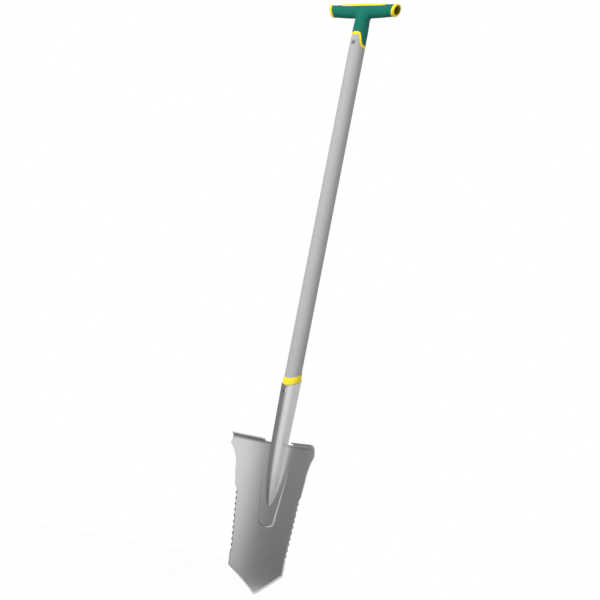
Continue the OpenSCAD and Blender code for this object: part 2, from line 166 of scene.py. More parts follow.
def make_finish(name, dark, light, rough, metal=0.0, grain=900.0, blotch=12.0, bump=0.05, contrast=0.5,
                specular=0.5):
    """A Principled material whose colour, roughness and bump follow the grain group."""
    material = bpy.data.materials.new(name)
    material.use_nodes = True
    tree = material.node_tree
    shader = tree.nodes["Principled BSDF"]
    shader.inputs["Metallic"].default_value = metal
    shader.inputs["Specular IOR Level"].default_value = specular
    group = add_node(tree, "ShaderNodeGroup", node_tree=fine_grain, Grain_Scale=grain, Blotch_Scale=blotch)
    mixed = add_node(tree, "ShaderNodeMath", operation="MULTIPLY_ADD")
    mixed.inputs[1].default_value = contrast
    share = add_node(tree, "ShaderNodeMath", operation="MULTIPLY")
    share.inputs[1].default_value = 1.0 - contrast
    colour = add_node(tree, "ShaderNodeMix", data_type="RGBA", A=(*dark, 1.0), B=(*light, 1.0))
    roughness = add_node(tree, "ShaderNodeMapRange", To_Min=rough[0], To_Max=rough[1])
    relief = add_node(tree, "ShaderNodeBump", Strength=bump, Distance=BUMP_DEPTH)
    link = tree.links.new
    link(group.outputs["Blotch"], share.inputs[0])
    link(group.outputs["Speckle"], mixed.inputs[0])
    link(share.outputs[0], mixed.inputs[2])
    link(mixed.outputs[0], colour.inputs["Factor"])
    link(colour.outputs["Result"], shader.inputs["Base Color"])
    link(mixed.outputs[0], roughness.inputs["Value"])
    link(roughness.outputs["Result"], shader.inputs["Roughness"])
    link(group.outputs["Speckle"], relief.inputs["Height"])
    link(relief.outputs["Normal"], shader.inputs["Normal"])
    return material


# %% The finishes of this spade
blade_steel = make_finish("blasted_steel", (0.68, 0.68, 0.68), (0.94, 0.94, 0.93), (0.26, 0.36), metal=1.0,
                          grain=420.0, blotch=9.0, bump=0.06, contrast=0.7)
cut_steel = make_finish("punched_edge_steel", (0.22, 0.22, 0.22), (0.36, 0.36, 0.355), (0.5, 0.65),
                        metal=1.0, grain=1500.0, blotch=60.0, bump=0.15, contrast=0.6)
shaft_grey = make_finish("satin_grey_tube", (0.375, 0.375, 0.38), (0.465, 0.465, 0.475), (0.5, 0.6),
                         blotch=14.0, bump=0.02, specular=0.3)
green_soft = make_finish("green_soft_cover", (0.004, 0.125, 0.090), (0.010, 0.190, 0.145), (0.5, 0.62),
                         grain=1500.0, blotch=30.0, specular=0.25)
yellow_hard = make_finish("yellow_hard_plastic", (0.92, 0.68, 0.012), (1.0, 0.82, 0.032), (0.32, 0.44),
                          grain=1200.0, blotch=40.0, bump=0.02, contrast=0.4, specular=0.4)
# Painted shade: the bore's wall is given a dark yellow for the shade inside the bore.
bore_painted_shade = make_finish("painted_shade_bore_yellow", (0.22, 0.15, 0.003), (0.32, 0.23, 0.006), (0.6, 0.75),
                          grain=1200.0, blotch=40.0, bump=0.06, contrast=0.4, specular=0.2)
rivet_bright = make_finish("rivet_alloy", (0.70, 0.70, 0.71), (0.92, 0.92, 0.92), (0.10, 0.18), metal=1.0,
                           grain=2500.0, blotch=200.0, bump=0.02)
rivet_dull = make_finish("rivet_dull_alloy", (0.34, 0.34, 0.345), (0.46, 0.46, 0.46), (0.40, 0.52),
                         metal=0.5, grain=2500.0, blotch=200.0, bump=0.04)
# Painted shade: this near-black stands for the shade inside a rivet's hole, on the pin and round its mouth.
pin_painted_shade = make_finish("rivet_pin_painted_shade", (0.010, 0.010, 0.010), (0.030, 0.030, 0.030), (0.5, 0.7),
                       metal=0.3, grain=2500.0, blotch=200.0, bump=0.1)
plug_black = make_finish("plug_black_plastic", (0.015, 0.015, 0.016), (0.035, 0.035, 0.037), (0.4, 0.55),
                         grain=1200.0, blotch=50.0, bump=0.04)
print("finishes with the grain:", fine_grain.users)

# %% [markdown]
# ## Working in loops
# Most of this tool is drawn, rolled or turned. A spin would do for the plain round pieces, but the socket,
# the tube's end and the grip change their section on the way. So the pieces grow from one loop of vertices
# to the next: a loop is started from a few points, and the extrude operator then adds each following loop,
# whose vertices are put where the next section wants them. This keeps even quads, and one helper serves
# them all.

# %% Loop helpers
WELD = 1e-5


def start_loop(bm, places):
    """A closed loop of new vertices and edges through the places."""
    loop = [bm.verts.new(place) for place in places]
    for i, vert in enumerate(loop):
        bm.edges.new((loop[i - 1], vert))
    return loop


def next_loop(bm, loop, places):
    """Extrudes a closed loop once, and puts the copies at the places."""
    edges = [bm.edges.get((loop[i - 1], vert)) for i, vert in enumerate(loop)]
    made = bmesh.ops.extrude_edge_only(bm, edges=edges)["geom"]
    copies = {item for item in made if isinstance(item, bmesh.types.BMVert)}
    ahead = []
    for vert, place in zip(loop, places):
        copy = next(e.other_vert(vert) for e in vert.link_edges if e.other_vert(vert) in copies)
        copy.co = place
        ahead.append(copy)
    return ahead


def grow(sections, closed=False):
    """A mesh that runs through the sections; its ends are capped, or joined to each other when closed."""
    bm = bmesh.new()
    first = loop = start_loop(bm, sections[0])
    for places in sections[1:]:
        loop = next_loop(bm, loop, places)
    if closed:
        next_loop(bm, loop, [vert.co.copy() for vert in first])
        bmesh.ops.remove_doubles(bm, verts=bm.verts[:], dist=WELD)
    else:
        bm.faces.new(first)
        bm.faces.new(loop)
    bmesh.ops.recalc_face_normals(bm, faces=bm.faces[:])
    return bm


# %% From mesh to piece
SHARP_ANGLE = 35.0


def add_piece(name, bm, material, slot, *nodes, sharp=SHARP_ANGLE):
    """Turns a millimetre mesh into a finished piece that rides on the spade and replaces its CAD nodes."""
    bmesh.ops.scale(bm, vec=(MM, MM, MM), verts=bm.verts[:])
    mesh = bpy.data.meshes.new(name)
    bm.to_mesh(mesh)
    bm.free()
    for polygon in mesh.polygons:
        polygon.use_smooth = True
    mesh.set_sharp_from_angle(angle=math.radians(sharp))
    mesh.materials.append(material)
    piece = bpy.data.objects.new(name, mesh)
    scene.collection.objects.link(piece)
    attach(piece, "root")
    if nodes:
        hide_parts(*nodes)
    print(f"{name}: {len(mesh.vertices)} vertices, {len(mesh.polygons)} faces")
    return piece


# %% [markdown]
# ## The blade
# On the real tool the edges of a flat steel blank are ground on their front, the saw's round bites are
# punched into that straight band, and a press rolls the two treads forward and dishes the whole sheet. A
# Boolean could cut such an outline out of a curved grid, but it leaves ragged triangles along the teeth. So
# the mesh is made in the workshop's order: the outline is drawn flat, with its front loop set in where the
# edges are ground, cuts across the flat sheet give it enough vertices, and one bend function then rolls the
# treads and dishes it.

# %% Blade sizes
SHEET_T = 2.6
STEM_DROP, SHAFT_L, SHAFT_FOOT_RISE = 78.2, 778.8, 15.0
TREAD_Z = -(STEM_DROP + SHAFT_L + SHAFT_FOOT_RISE)
BLADE_H, POINT_H, POINT_BLUNT = 299.0, 46.0, 0.8
TREAD_HALF, TREAD_END_X, TREAD_SIDE_H, TREAD_REACH = 99.9, 97.2, 20.0, 9.9
GAP_HALF, GAP_R, GAP_DROP = 34.0, 4.0, 5.4
BEND_R = 8.0
BEND_H = BEND_R + SHEET_T
TREAD_FLAT = (BEND_R + SHEET_T / 2) * math.pi / 2 + TREAD_REACH - BEND_R
TREAD_TOP = TREAD_FLAT - BEND_H
INNER_CORNER_R, OUTER_CORNER_R = 1.5, 1.0
WAIST_DROP, WAIST_HALF = 66.0, 84.0
print("treads at", round(TREAD_Z, 1), "and", round(TREAD_FLAT, 1), "of sheet rolled into each")

# %% Saw sizes
SAW_DROP, SAW_H, SAW_COUNT, SAW_DEPTH, SAW_LAND = 102.0, 123.5, 11, 3.2, 0.8
SAW_SLOPE_RISE, SAW_FOOT_LAND, BITE_STEPS = 5.0, 2.0, 8
SIDE_EASE, SIDE_EASE_H = 0.3, 3.0
SIDE_FOOT_HALF, SAW_TOP_HALF, SAW_FOOT_HALF, FOOT_HALF = 79.5, 77.25, 66.75, 65.25
EDGE_BREAK, EDGE_LAND = 0.25, 0.8
SAW_GRIND, SIDE_GRIND, POINT_GRIND = 4.2, 2.2, 3.4
print("saw:", SAW_COUNT, "bites a side,", round(SAW_H / SAW_COUNT, 1), "apart")

# %% Rows of the outline


def arc(x, z, radius, start, end, steps):
    """Places on an arc in the blank's plane, as (x, z)."""
    turns = [math.radians(start + (end - start) * i / steps) for i in range(steps + 1)]
    return [(x + radius * math.cos(a), z + radius * math.sin(a)) for a in turns]


def plain(points, width):
    """Rows of the outline without a bite: a place, the same place before punching, and its grind width."""
    return [(Vector(point), Vector(point), width) for point in points]


def saw_rows():
    """The rows of the right-hand saw edge: round bites in an edge that was ground straight. The topmost is
    half a bite, which slopes in from the side above it."""
    top = Vector((SAW_TOP_HALF, -SAW_DROP))
    run = Vector((SAW_FOOT_HALF - SAW_TOP_HALF, -SAW_H))
    pitch = run.length / SAW_COUNT
    along = run.normalized()
    inside = Vector((along.y, -along.x))
    rows = []
    for tooth in range(SAW_COUNT):
        start = top + along * (tooth * pitch + SAW_LAND / 2)
        for step in range(0 if tooth else BITE_STEPS // 2, BITE_STEPS + 1):
            before = start + along * (pitch - SAW_LAND) * step / BITE_STEPS
            depth = SAW_DEPTH * (1 - (2 * step / BITE_STEPS - 1) ** 2)
            rows.append((before + inside * depth, before, SAW_GRIND))
    return rows


# %% Outline of the blank


def half_blank():
    """The right half of the outline, from the gap between the treads down to the point."""
    rows = plain(arc(GAP_HALF - GAP_R, GAP_R - GAP_DROP, GAP_R, -90, 0, 5), EDGE_BREAK)
    inner, outer = INNER_CORNER_R, OUTER_CORNER_R
    rows += plain(arc(GAP_HALF + inner, TREAD_TOP - inner, inner, 180, 90, 3), EDGE_BREAK)
    rows += plain(arc(TREAD_END_X - outer, TREAD_TOP - outer, outer, 90, 0, 3), EDGE_BREAK)
    rows += plain([(TREAD_END_X, -GAP_DROP)], EDGE_BREAK)
    inward, down = TREAD_HALF - WAIST_HALF, WAIST_DROP - TREAD_SIDE_H
    radius = (inward * inward + down * down) / (2 * inward)
    sweep = math.degrees(math.asin(down / radius))
    rows += plain(arc(WAIST_HALF + radius, -WAIST_DROP, radius, 180 - sweep, 180, 12), EDGE_BREAK)
    slope_z = SAW_SLOPE_RISE - SAW_DROP
    side_foot = [(SIDE_FOOT_HALF + SIDE_EASE, slope_z + SIDE_EASE_H), (SIDE_FOOT_HALF, slope_z)]
    rows += plain(side_foot, EDGE_BREAK)
    rows += saw_rows()
    saw_foot_z = -SAW_DROP - SAW_H - SAW_FOOT_LAND
    rows += plain([(SAW_FOOT_HALF, saw_foot_z), (FOOT_HALF, POINT_H - BLADE_H)], SIDE_GRIND)
    shares = (0.04, 0.3, 0.6, 0.95)
    rows += plain([(FOOT_HALF * (1 - s), POINT_H * (1 - s) - BLADE_H) for s in shares], POINT_GRIND)
    return rows


right = half_blank()
left = [(Vector((-p.x, p.y)), Vector((-q.x, q.y)), width) for p, q, width in reversed(right)]
blank = right + plain([(0.0, POINT_BLUNT - BLADE_H)], POINT_GRIND) + left
print("blank outline:", len(blank), "points")

# %% Flat blank with ground edges
STRETCH_MIN, SIDEWAYS = 0.45, 0.1


def set_in(outline, widths):
    """Moves each point of a clockwise outline inwards by its own width, along the bisector at the point."""
    moved, count = [], len(outline)
    for i, point in enumerate(outline):
        before = (point - outline[i - 1]).normalized()
        after = (outline[(i + 1) % count] - point).normalized()
        normal = Vector((before.y + after.y, -before.x - after.x))
        stretch = max(STRETCH_MIN, math.sqrt(max(0.0, (1 + before.dot(after)) / 2)))
        moved.append(point + normal.normalized() * widths[i] / stretch)
    return moved


def flat_sheet(rows):
    """A closed flat sheet with its front face at depth 0 and a second finish on the walls of the bites."""
    outline = [place for place, _, _ in rows]
    front = set_in([before for _, before, _ in rows], [width for _, _, width in rows])
    back = set_in(outline, [EDGE_BREAK for _ in rows])
    deep = []
    for (place, _, width), point in zip(rows, front):
        full = SHEET_T - EDGE_LAND if width > EDGE_BREAK else EDGE_BREAK
        deep.append(full * min(1.0, (point - place).length / width))
    bm = grow([
        [Vector((p.x, 0.0, p.y)) for p in front],
        [Vector((p.x, d, p.y)) for p, d in zip(outline, deep)],
        [Vector((p.x, SHEET_T - EDGE_BREAK, p.y)) for p in outline],
        [Vector((p.x, SHEET_T, p.y)) for p in back],
    ])
    for face in bm.faces:
        on_saw = SAW_DROP < -face.calc_center_median().z < SAW_DROP + SAW_H
        face.material_index = 1 if on_saw and abs(face.normal.y) < SIDEWAYS else 0
    return bm


# %% Cuts across the blank
CELL_ACROSS, CELL_DOWN, BEND_CELLS = 5.0, 9.0, 8


def cut_across(bm, axis, values, facing=0.0):
    """Cuts the mesh by planes at these values along one axis, so that it can bend: only its faces that look
    forward or back at least as squarely as facing says."""
    normal = Vector([1.0 if i == axis else 0.0 for i in range(3)])
    for value in values:
        faces = [face for face in bm.faces if abs(face.normal.y) >= facing]
        edges = {edge for face in faces for edge in face.edges}
        verts = {vert for edge in edges for vert in edge.verts}
        bmesh.ops.bisect_plane(bm, geom=[*verts, *edges, *faces], dist=10 * WELD, plane_co=normal * value,
                               plane_no=normal)


def steps_between(low, high, size):
    """Evenly spaced values strictly between two ends."""
    count = max(1, round((high - low) / size))
    return [low + (high - low) * i / count for i in range(1, count)]


sheet = flat_sheet(blank)
cut_across(sheet, 0, steps_between(-TREAD_HALF, TREAD_HALF, CELL_ACROSS))
bend_run = TREAD_FLAT - TREAD_REACH + BEND_R
cut_across(sheet, 2, [-BEND_H + bend_run * i / BEND_CELLS for i in range(BEND_CELLS + 1)])
cut_across(sheet, 2, steps_between(-BLADE_H, -BEND_H - 1.0, CELL_DOWN))
print("flat sheet:", len(sheet.faces), "faces")

# %% Bend the sheet
DISH_R, TREAD_RISE = 205.0, 2.0
BLADE_LEAN, BLADE_SET_BACK = math.radians(1.3), 3.0
BLADE_SHARP_ANGLE = 18.0


def bent(x, depth, z):
    """Where a point of the flat sheet goes when its tread is rolled forward and the sheet is dished."""
    rise = z + BEND_H
    reach, height = depth, z
    if rise > 0:
        neutral, radius = BEND_R + SHEET_T / 2, BEND_R + depth
        angle = min(rise / neutral, math.pi / 2)
        spare = max(0.0, rise - neutral * math.pi / 2)
        reach = radius * math.cos(angle) - BEND_R - spare
        outward = max(0.0, (abs(x) - GAP_HALF) / (TREAD_HALF - GAP_HALF))
        height = radius * math.sin(angle) - BEND_H + TREAD_RISE * outward * math.sin(angle) ** 2
    x = x * (DISH_R + min(reach, 0.0) / 2) / DISH_R
    return Vector((x, math.sqrt((DISH_R + reach) ** 2 - x * x) - DISH_R, height))


in_blade_frame = Matrix.Translation((0, BLADE_SET_BACK, TREAD_Z)) @ Matrix.Rotation(BLADE_LEAN, 4, "X")
for vert in sheet.verts:
    vert.co = in_blade_frame @ bent(*vert.co)
blade = add_piece("blade_sheet", sheet, blade_steel, "blade_steel", "blade", sharp=BLADE_SHARP_ANGLE)
blade.data.materials.append(cut_steel)

# %% [markdown]
# ## The socket and its nose
# Above the treads the socket is a slim cone with a slanted rim. Below them it narrows into a leaning nose,
# which is blended into the blade by a small fillet on both faces. A bevel along the seam could make that
# fillet, but it would fail where the nose sinks in at its end. So each section is worked out as a ring: the
# front of the round, a fillet at each of its feet, and the same again behind. Above the treads those points
# lie on the round.

# %% Socket sizes
SHAFT_R, FIT_GAP, SKIRT_T, SOCKET_WALL = 16.0, 0.1, 0.9, 1.6
SOCKET_H, SOCKET_NARROWING, RIM_SLANT = 116.4, 4.0, math.radians(28)
SOCKET_RIM_R = SHAFT_R + 2 * FIT_GAP + SKIRT_T + SOCKET_WALL
SOCKET_TREAD_R = SOCKET_RIM_R - SOCKET_NARROWING / 2
RIM_RUN = 40.0
NOSE_H, NOSE_TAPER, NOSE_FULLNESS = 127.5, 2.4, 0.52
NOSE_LEAN = (BLADE_SET_BACK + NOSE_H * math.tan(BLADE_LEAN)) / NOSE_H
CROWN_STEPS, FILLET_STEPS = 12, 5
FILLET_R, FILLET_DROP, FILLET_RUN, FILLET_FIRST = 1.5, 6.0, 6.0, 0.06
TONGUE_DROP, TONGUE_SUNK, TONGUE_SLOPE = 47.0, 4.0, 1.15 * math.tan(BLADE_LEAN)
print("socket radius", round(SOCKET_RIM_R, 2), "at its rim and", round(SOCKET_TREAD_R, 2), "at the treads")


def tongue_t(drop):
    """Thickness of the tongue on the blade's face at a drop below the treads: its top end sinks in."""
    return TONGUE_SLOPE * (drop - TONGUE_DROP - TONGUE_SUNK)


def face_y(x, drop):
    """Where the blade's front face lies at a place across and a drop below the treads."""
    dish = DISH_R - math.sqrt(DISH_R * DISH_R - x * x)
    return BLADE_SET_BACK + drop * math.tan(BLADE_LEAN) - dish


# %% Rings of the socket


def nose_r(drop):
    """Radius of the nose at a drop below the treads: full at first, and soft at its end."""
    return SOCKET_TREAD_R * (1 - (drop / NOSE_H) ** NOSE_TAPER) ** NOSE_FULLNESS


def half_ring(centre_y, radius, face, side, fillet):
    """One half of a ring, from its crown round to its foot on a face: side is -1 in front and 1 behind."""
    foot_x = radius
    # The face curves, so the height of the foot is found in three rounds.
    for _ in range(3):
        level = (face(foot_x) - centre_y) * side + fillet
        span = (radius + fillet) ** 2 - level * level
        if span <= 0:
            return None
        foot_x = math.sqrt(span)
        tilt = math.atan2(foot_x, level)
    crown = [tilt * i / CROWN_STEPS for i in range(CROWN_STEPS + 1)]
    places = [(radius * math.sin(a), centre_y + side * radius * math.cos(a)) for a in crown]
    hub = (foot_x, centre_y + side * level)
    for i in range(1, FILLET_STEPS + 1):
        a = tilt * (1 - i / FILLET_STEPS)
        places.append((hub[0] - fillet * math.sin(a), hub[1] - side * fillet * math.cos(a)))
    return places


def seat_turns(side, depth):
    """The turns round the socket at which the points of its first seated ring lie."""
    centre = FILLET_DROP * NOSE_LEAN
    radius = nose_r(FILLET_DROP)
    ring = half_ring(centre, radius, lambda x: face_y(x, FILLET_DROP) + depth, side, FILLET_FIRST)
    return [math.atan2(x, side * (y - centre)) for x, y in ring]


FRONT_TURNS, BACK_TURNS = seat_turns(-1, 0.0), seat_turns(1, SHEET_T)


# %% Free and seated rings
BURIED_DEPTH, BURIED_SHARE = 0.6, 0.6


def cone_r(rise):
    """Radius of the socket's cone at a height above the treads."""
    return SOCKET_TREAD_R + (SOCKET_RIM_R - SOCKET_TREAD_R) * rise / SOCKET_H


def free_ring(rise):
    """The front and back halves of a ring above the fillets."""
    drop = max(0.0, -rise)
    radius = nose_r(drop) if drop else cone_r(rise)
    centre = drop * NOSE_LEAN
    front = [(radius * math.sin(a), centre - radius * math.cos(a)) for a in FRONT_TURNS]
    behind = [(radius * math.sin(a), centre + radius * math.cos(a)) for a in BACK_TURNS]
    return front, behind


def seated_ring(drop):
    """The two halves of a ring of the nose: None in front where it has sunk in, buried behind."""
    centre, radius = drop * NOSE_LEAN, nose_r(drop)
    fillet = FILLET_R * min(1.0, FILLET_FIRST + (drop - FILLET_DROP) / FILLET_RUN)
    lift = max(0.0, tongue_t(drop))
    front = half_ring(centre, radius, lambda x: face_y(x, drop) - lift, -1, fillet)
    behind = half_ring(centre, radius, lambda x: face_y(x, drop) + SHEET_T, 1, fillet)
    if front and behind is None:
        buried_y = face_y(0.0, drop) + SHEET_T - BURIED_DEPTH
        behind = [(x * BURIED_SHARE, buried_y) for x, _ in front]
    return front, behind


# %% One ring of the socket


def socket_ring(rise):
    """The places of one ring of the socket at a height above the treads, or None below the nose's end."""
    front, behind = free_ring(rise) if -rise < FILLET_DROP else seated_ring(-rise)
    if front is None:
        return None
    slant = max(0.0, 1 - (SOCKET_H - rise) / RIM_RUN) * math.tan(RIM_SLANT)
    z = TREAD_Z + rise
    right_side = [Vector((x, y, z + y * slant)) for x, y in front + behind[::-1]]
    left_side = [Vector((-p.x, p.y, p.z)) for p in right_side[1:-1]]
    return right_side + left_side[::-1]


def shrunk(places, wall):
    """A ring moved towards the shaft's axis by a wall's thickness."""
    moved = []
    for place in places:
        share = 1 - wall / place.xy.length
        moved.append(Vector((place.x * share, place.y * share, place.z)))
    return moved


# %% Build the socket
RIM_BREAK, RIM_DEPTH = 0.3, 10.0
CONE_CELL, NOSE_CELLS = 12.0, 30
NOSE_END_SHARE, NOSE_END_DROP, NOSE_END_SUNK = 0.4, 2.5, 0.3
rises = [SOCKET_H - run for run in (RIM_BREAK, 4, 12, 24, RIM_RUN)]
rises += steps_between(0, SOCKET_H - RIM_RUN, CONE_CELL)[::-1] + [0.0, -4.0]
rises += [-FILLET_DROP - run for run in (0.1, 2.0, 4.0, 6.0, 8.0)]
nose = [-NOSE_H * math.sin(math.pi / 2 * i / NOSE_CELLS) for i in range(1, NOSE_CELLS)]
rises += [rise for rise in nose if rise < -FILLET_DROP - 9]
rim = socket_ring(SOCKET_H)
sections = [shrunk(rim, wall) for wall in (SOCKET_WALL, SOCKET_WALL - RIM_BREAK, RIM_BREAK)]
sections.insert(0, [place - Vector((0, 0, RIM_DEPTH)) for place in sections[0]])
sections += [ring for ring in map(socket_ring, rises) if ring]
sunk_y = face_y(0.0, NOSE_H) - tongue_t(NOSE_H) + NOSE_END_SUNK
nose_end = [(p.x * NOSE_END_SHARE, max(p.y, sunk_y), p.z - NOSE_END_DROP) for p in sections[-1]]
sections.append([Vector(place) for place in nose_end])
add_piece("socket_shell", grow(sections), blade_steel, "blade_steel", "socket")

# %% [markdown]
# ## The tongue
# A tongue of steel runs down the blade's face below the nose and stiffens it. Its sides fade into the blade
# at the top, and at its round foot it stands about three millimetres proud, with soft edges. A bevel could
# soften them, but its width would not follow the fading thickness. So the outline is set in loop by loop,
# each width a share of the thickness there, and the last two loops lie level, which keeps the flat face
# evenly shaded. The flat is then cut across and dished like the blade.

# %% Outline of the tongue
TONGUE_H, TONGUE_TOP_HALF, TONGUE_FOOT_HALF, TONGUE_ROUND_H = 122.0, 32.0, 19.6, 9.0
TONGUE_EDGE = [(-0.1, -0.2), (0.0, 0.1), (0.3, 0.5), (0.62, 0.86), (0.9, 1.0), (1.25, 1.0)]
EDGE_T_MIN, SUNK_SLOPE = 0.8, 1.9
TONGUE_CELL_ACROSS, TONGUE_CELL_DOWN, FLAT_FACING = 4.0, 8.0, 0.97


def tongue_outline():
    """The tongue's outline in the blade's plane, clockwise from its top right corner."""
    foot_drop = TONGUE_DROP + TONGUE_H
    radius = (TONGUE_FOOT_HALF ** 2 + TONGUE_ROUND_H ** 2) / (2 * TONGUE_ROUND_H)
    sweep = math.degrees(math.asin(TONGUE_FOOT_HALF / radius))
    corner = -foot_drop + TONGUE_ROUND_H
    narrowing, height = TONGUE_FOOT_HALF - TONGUE_TOP_HALF, corner + TONGUE_DROP
    shares = (0.0, 0.15, 0.3, 0.45, 0.6, 0.75, 0.9)
    side = [(TONGUE_TOP_HALF + narrowing * s, -TONGUE_DROP + height * s) for s in shares]
    round_foot = arc(0.0, radius - foot_drop, radius, -90 + sweep, -90 - sweep, 16)
    other_side = [(-x, z) for x, z in reversed(side)]
    return [Vector(p) for p in side + round_foot + other_side]


def tongue_place(point, share):
    """A point of the plan, raised by a share of its thickness there, or sunk where that is below 0."""
    thick = tongue_t(-point.y)
    return Vector((point.x, -share * abs(thick) - min(0.0, thick * SUNK_SLOPE), point.y))


# %% Build the tongue
outline = tongue_outline()
edge_widths = [max(EDGE_T_MIN, tongue_t(-point.y)) for point in outline]
loops = []
for inset, share in TONGUE_EDGE:
    moved = set_in(outline, [inset * width for width in edge_widths])
    loops.append([tongue_place(point, share) for point in moved])
tongue = grow(loops)
across = steps_between(-TONGUE_TOP_HALF, TONGUE_TOP_HALF, TONGUE_CELL_ACROSS)
cut_across(tongue, 0, across, facing=FLAT_FACING)
cut_across(tongue, 2, steps_between(-TONGUE_DROP - TONGUE_H, -TONGUE_DROP, TONGUE_CELL_DOWN))
for vert in tongue.verts:
    vert.co = in_blade_frame @ bent(*vert.co)
add_piece("blade_tongue", tongue, blade_steel, "blade_steel")

# %% [markdown]
# ## The collar
# A yellow plastic ring keeps dirt out of the gap between socket and shaft. It is made as a plain ring with
# soft edges, and then sheared so that both of its ends follow the socket's slanted rim. Slanting every
# section on its own would do as well, but a shear is a single matrix on the finished ring.

# %% Build the collar
COLLAR_H, COLLAR_T = 13.6, 1.3
RIM_Z = TREAD_Z + SOCKET_H
RING_SEGMENTS = 96


def circle(radius, z):
    """Places round the shaft's axis, from the front (-Y) towards the right (+X)."""
    turns = [2 * math.pi * i / RING_SEGMENTS for i in range(RING_SEGMENTS)]
    return [Vector((radius * math.sin(a), -radius * math.cos(a), z)) for a in turns]


inner_r = SHAFT_R + FIT_GAP / 2
outer_r = SHAFT_R + FIT_GAP + COLLAR_T
foot_edge = [(inner_r, 0.1), (outer_r - 0.3, 0.1), (outer_r, 0.5)]
top_edge = [(outer_r, COLLAR_H - 0.9), (outer_r - 0.25, COLLAR_H - 0.3), (outer_r - 0.8, COLLAR_H)]
profile = foot_edge + top_edge + [(inner_r, COLLAR_H - 0.2)]
collar = grow([circle(radius, z) for radius, z in profile], closed=True)
shear = Matrix.Identity(4)
shear[2][1] = math.tan(RIM_SLANT)
bmesh.ops.transform(collar, matrix=Matrix.Translation((0, 0, RIM_Z)) @ shear, verts=collar.verts[:])
add_piece("collar_ring", collar, yellow_hard, "yellow_plastic", "collar")

# %% [markdown]
# ## The shaft
# The shaft is a steel tube whose top end sends a rounded tab up the front of the handle's stem. A Boolean
# could cut that tab, but evenly paired loops leave a cleaner edge. The edge is a line round the cylinder,
# given as angles and heights. Cutting the corners of that line twice rounds it, and spacing its points
# evenly lets each of them pair with a point of a plain ring below.

# %% Lines round the shaft
SHOULDER_Z = -STEM_DROP
TAB_LINE = [(0, 24.3), (12, 24.3), (23.6, 24.4), (30.3, 23.6), (34.2, 21.5), (37.2, 18.1), (42.2, 13.3),
            (47.1, 8.4), (53.1, 5.0), (60.5, 1.7), (70, 0.2), (83, 0.0), (100, 0.0), (140, 0.0), (180, 0.0)]
TRIM_LINE = [(0, 30.7), (14, 30.8), (21.4, 30.8), (33.7, 29.5), (42.3, 26.9), (47.1, 23.3), (51.3, 19.1),
             (57.2, 14.3), (62.8, 10.3), (69, 7.5), (79.5, 6.0), (95, 5.9), (110, 6.0), (145, 6.0),
             (180, 6.0)]
LINE_POINTS, TINY = 192, 1e-9


def rounded(points):
    """Cuts every corner of a line twice, which rounds it."""
    for _ in range(2):
        cut = [points[0]]
        for a, b in zip(points, points[1:]):
            for far in (0.25, 0.75):
                cut.append(tuple(p * (1 - far) + q * far for p, q in zip(a, b)))
        points = cut + [points[-1]]
    return points


def round_line(points):
    """A line round the shaft as evenly spaced (angle, height) pairs, the same on both sides."""
    points = rounded([(math.radians(a), z) for a, z in points])
    lengths = [0.0]
    for (a, z), (b, y) in zip(points, points[1:]):
        lengths.append(lengths[-1] + math.hypot(SHAFT_R * (b - a), y - z))
    half, line = LINE_POINTS // 2, []
    for i in range(half + 1):
        want = lengths[-1] * i / half
        reached = (n for n, length in enumerate(lengths) if length >= want - TINY)
        k = max(1, next(reached, len(lengths) - 1))
        share = (want - lengths[k - 1]) / max(TINY, lengths[k] - lengths[k - 1])
        line.append(tuple(p + (q - p) * share for p, q in zip(points[k - 1], points[k])))
    return line + [(-a, z) for a, z in reversed(line[1:-1])]


def on_shaft(line, radius, lift=0.0):
    """Places on a cylinder round the shaft's axis for a line of angles and heights above the shoulder."""
    return [Vector((radius * math.sin(a), -radius * math.cos(a), SHOULDER_Z + z + lift)) for a, z in line]


tab_line, trim_line = round_line(TAB_LINE), round_line(TRIM_LINE)
print("tab line:", len(tab_line), "points")

# %% Build the shaft
TUBE_WALL, TUBE_BREAK, TUBE_END_DROP, EASED_LEVEL = 2.0, 0.3, 14.0, -12.0
even = [2 * math.pi * i / LINE_POINTS for i in range(LINE_POINTS)]
even = [a if a <= math.pi else a - 2 * math.pi for a in even]


def eased(line, level, share):
    """A line part of the way from an edge line to a plain ring at one level."""
    return [(a + (e - a) * share, z + (level - z) * share) for (a, z), e in zip(line, even)]


edge = [(TUBE_WALL, -3.0), (TUBE_WALL - 0.1, -0.1), (TUBE_BREAK, 0.0), (0.0, -TUBE_BREAK)]
tube = [on_shaft(tab_line, SHAFT_R - inset, lift) for inset, lift in edge]
for share in (0.25, 0.5, 0.75, 1.0):
    tube.append(on_shaft(eased(tab_line, EASED_LEVEL, share), SHAFT_R, -TUBE_BREAK))
run_down = RIM_Z - SHOULDER_Z - TUBE_END_DROP - EASED_LEVEL
for share in (0.1, 0.3, 0.5, 0.7, 0.9, 1.0):
    tube.append(on_shaft([(a, EASED_LEVEL + run_down * share) for a in even], SHAFT_R))
add_piece("shaft_tube_wall", grow(tube), shaft_grey, "shaft_grey", "shaft_tube")

# %% [markdown]
# ## The handle's hard core
# The T-handle is moulded in two shots: a hard yellow core first, and a soft green cover over it. The core
# shows in three places: a rim round the tab, two rings at the ends of the T-bar with the bore between them,
# and a strip along the bar's top that sinks in towards its ends. One whole core could be modelled and
# mostly hidden again, but only what shows is made here. The rim runs between two lines round the shaft, the
# rings are rows of circles round the bar, and the strip is a flat outline with soft edges that is laid over
# the bar's round top.

# %% Trim round the tab


def between(share, radius):
    """A line between the tab's edge and the cover's edge."""
    line = [(a + (b - a) * share, z + (y - z) * share) for (a, z), (b, y) in zip(tab_line, trim_line)]
    return on_shaft(line, radius)


trim_sections = [(0.0, SHAFT_R - 1.6), (0.04, SHAFT_R - 0.25), (0.16, SHAFT_R + 0.04), (0.5, SHAFT_R + 0.1),
                 (0.84, SHAFT_R + 0.04), (0.98, SHAFT_R - 0.25), (1.05, SHAFT_R - 1.6)]
trim = grow([between(share, radius) for share, radius in trim_sections], closed=True)
add_piece("grip_trim", trim, yellow_hard, "yellow_plastic")

